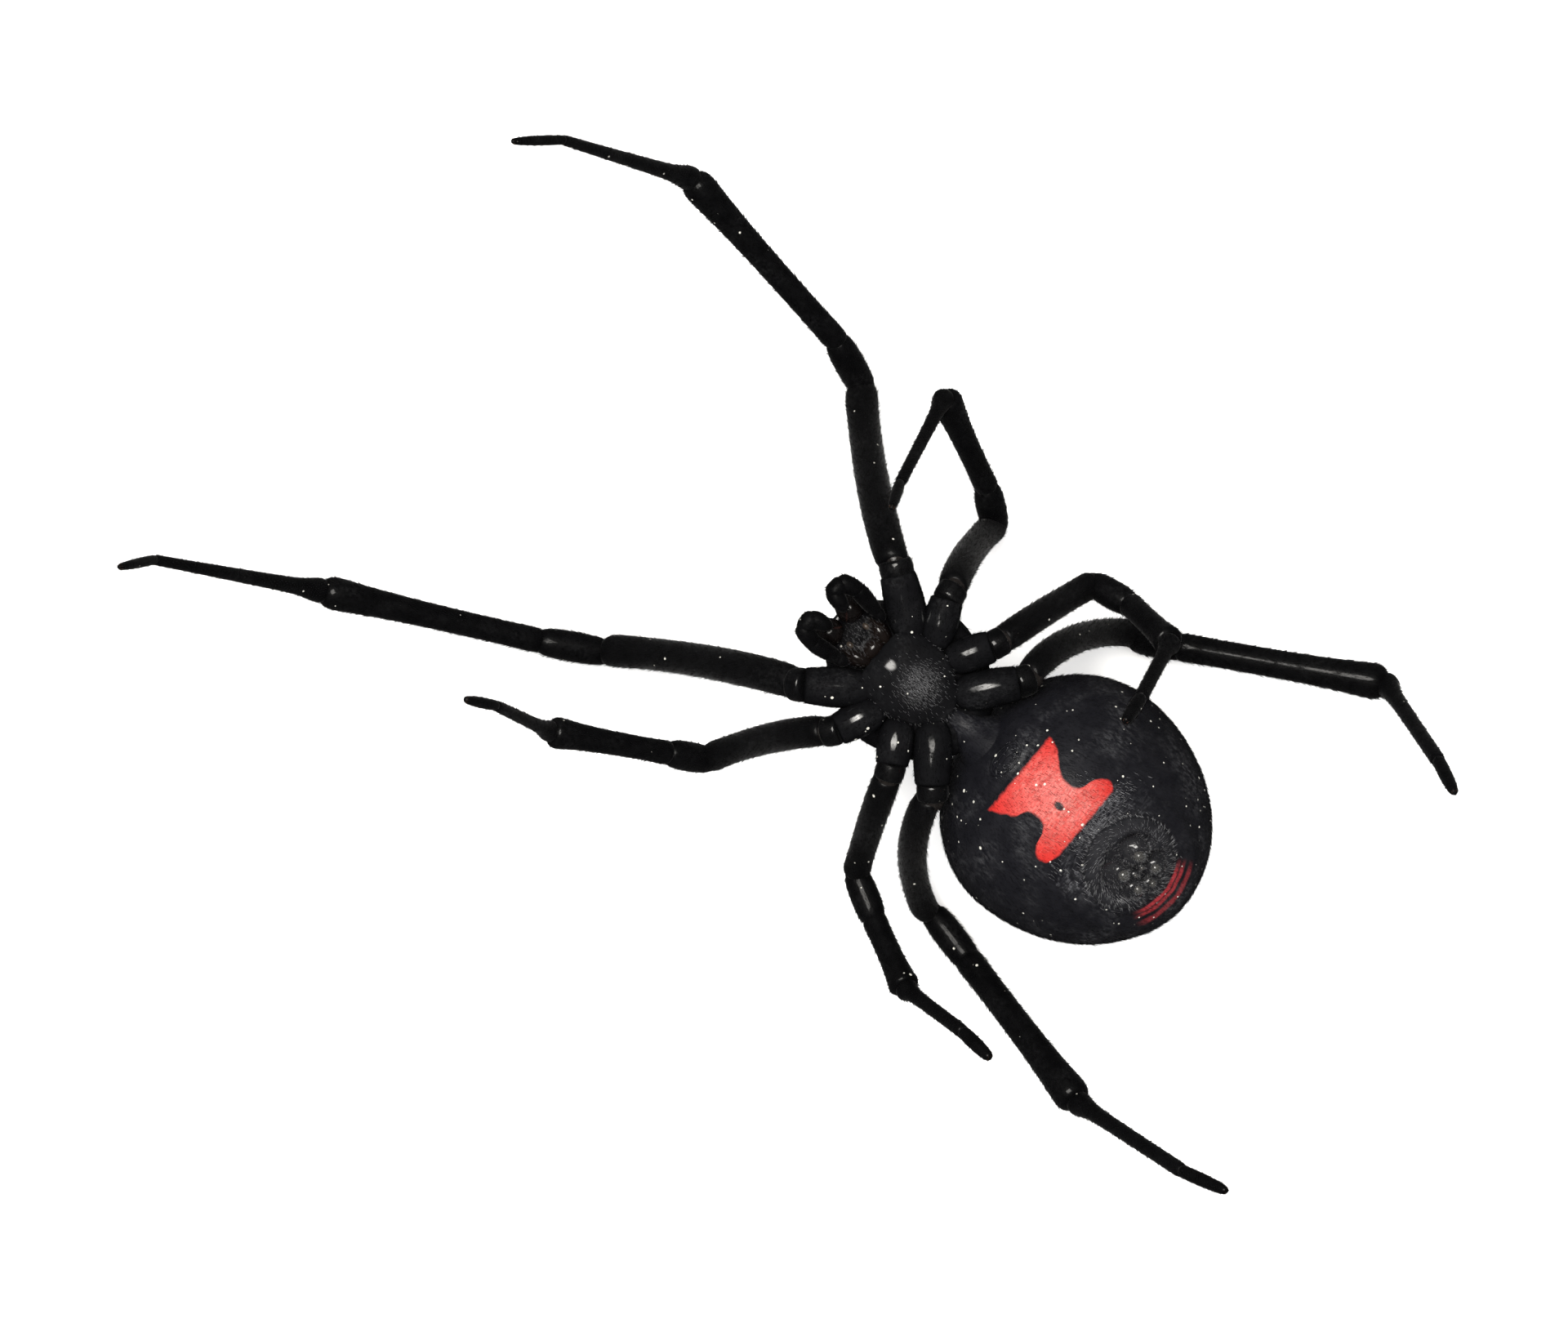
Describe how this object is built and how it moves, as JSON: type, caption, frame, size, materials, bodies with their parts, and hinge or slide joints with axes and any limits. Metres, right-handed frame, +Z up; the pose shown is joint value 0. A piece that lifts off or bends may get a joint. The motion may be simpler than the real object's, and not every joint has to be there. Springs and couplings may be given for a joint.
{
  "type": "black widow spider model",
  "caption": "Life-size still model of a female black widow spider, belly up, legs held as in its web.",
  "frame": {"origin": "on the floor, under the middle of the spider's bounding box", "axes": "+Z up, the way the belly faces; +Y towards the tail; the head points to -Y and the animal's left side is at -X"},
  "size_m": [0.02, 0.0332, 0.0112],
  "materials": {
    "body_cuticle": "glossy black cuticle with a red hourglass on the belly",
    "leg_cuticle": "glossy black cuticle with short black bristles",
    "jaw_cuticle": "glossy brown-black cuticle",
    "spinneret_skin": "satin dark grey skin",
    "eye": "polished, nearly black"
  },
  "bodies": {
    "root": {"cephalothorax": "body_cuticle", "abdomen": "body_cuticle", "spinnerets": "spinneret_skin", "chelicera_left": "jaw_cuticle", "chelicera_right": "jaw_cuticle", "palp_left": "leg_cuticle", "palp_right": "leg_cuticle", "leg_1_left_coxa_femur": "leg_cuticle", "leg_1_left_patella_tibia": "leg_cuticle", "leg_1_left_metatarsus_tarsus": "leg_cuticle", "leg_1_right_coxa_femur": "leg_cuticle", "leg_1_right_patella_tibia": "leg_cuticle", "leg_1_right_metatarsus_tarsus": "leg_cuticle", "leg_2_left_coxa_femur": "leg_cuticle", "leg_2_left_patella_tibia": "leg_cuticle", "leg_2_left_metatarsus_tarsus": "leg_cuticle", "leg_2_right_coxa_femur": "leg_cuticle", "leg_2_right_patella_tibia": "leg_cuticle", "leg_2_right_metatarsus_tarsus": "leg_cuticle", "leg_3_left_coxa_femur": "leg_cuticle", "leg_3_left_patella_tibia": "leg_cuticle", "leg_3_left_metatarsus_tarsus": "leg_cuticle", "leg_3_right_coxa_femur": "leg_cuticle", "leg_3_right_patella_tibia": "leg_cuticle", "leg_3_right_metatarsus_tarsus": "leg_cuticle", "leg_4_left_coxa_femur": "leg_cuticle", "leg_4_left_patella_tibia": "leg_cuticle", "leg_4_left_metatarsus_tarsus": "leg_cuticle", "leg_4_right_coxa_femur": "leg_cuticle", "leg_4_right_patella_tibia": "leg_cuticle", "leg_4_right_metatarsus_tarsus": "leg_cuticle"}
  },
  "joints": []
}
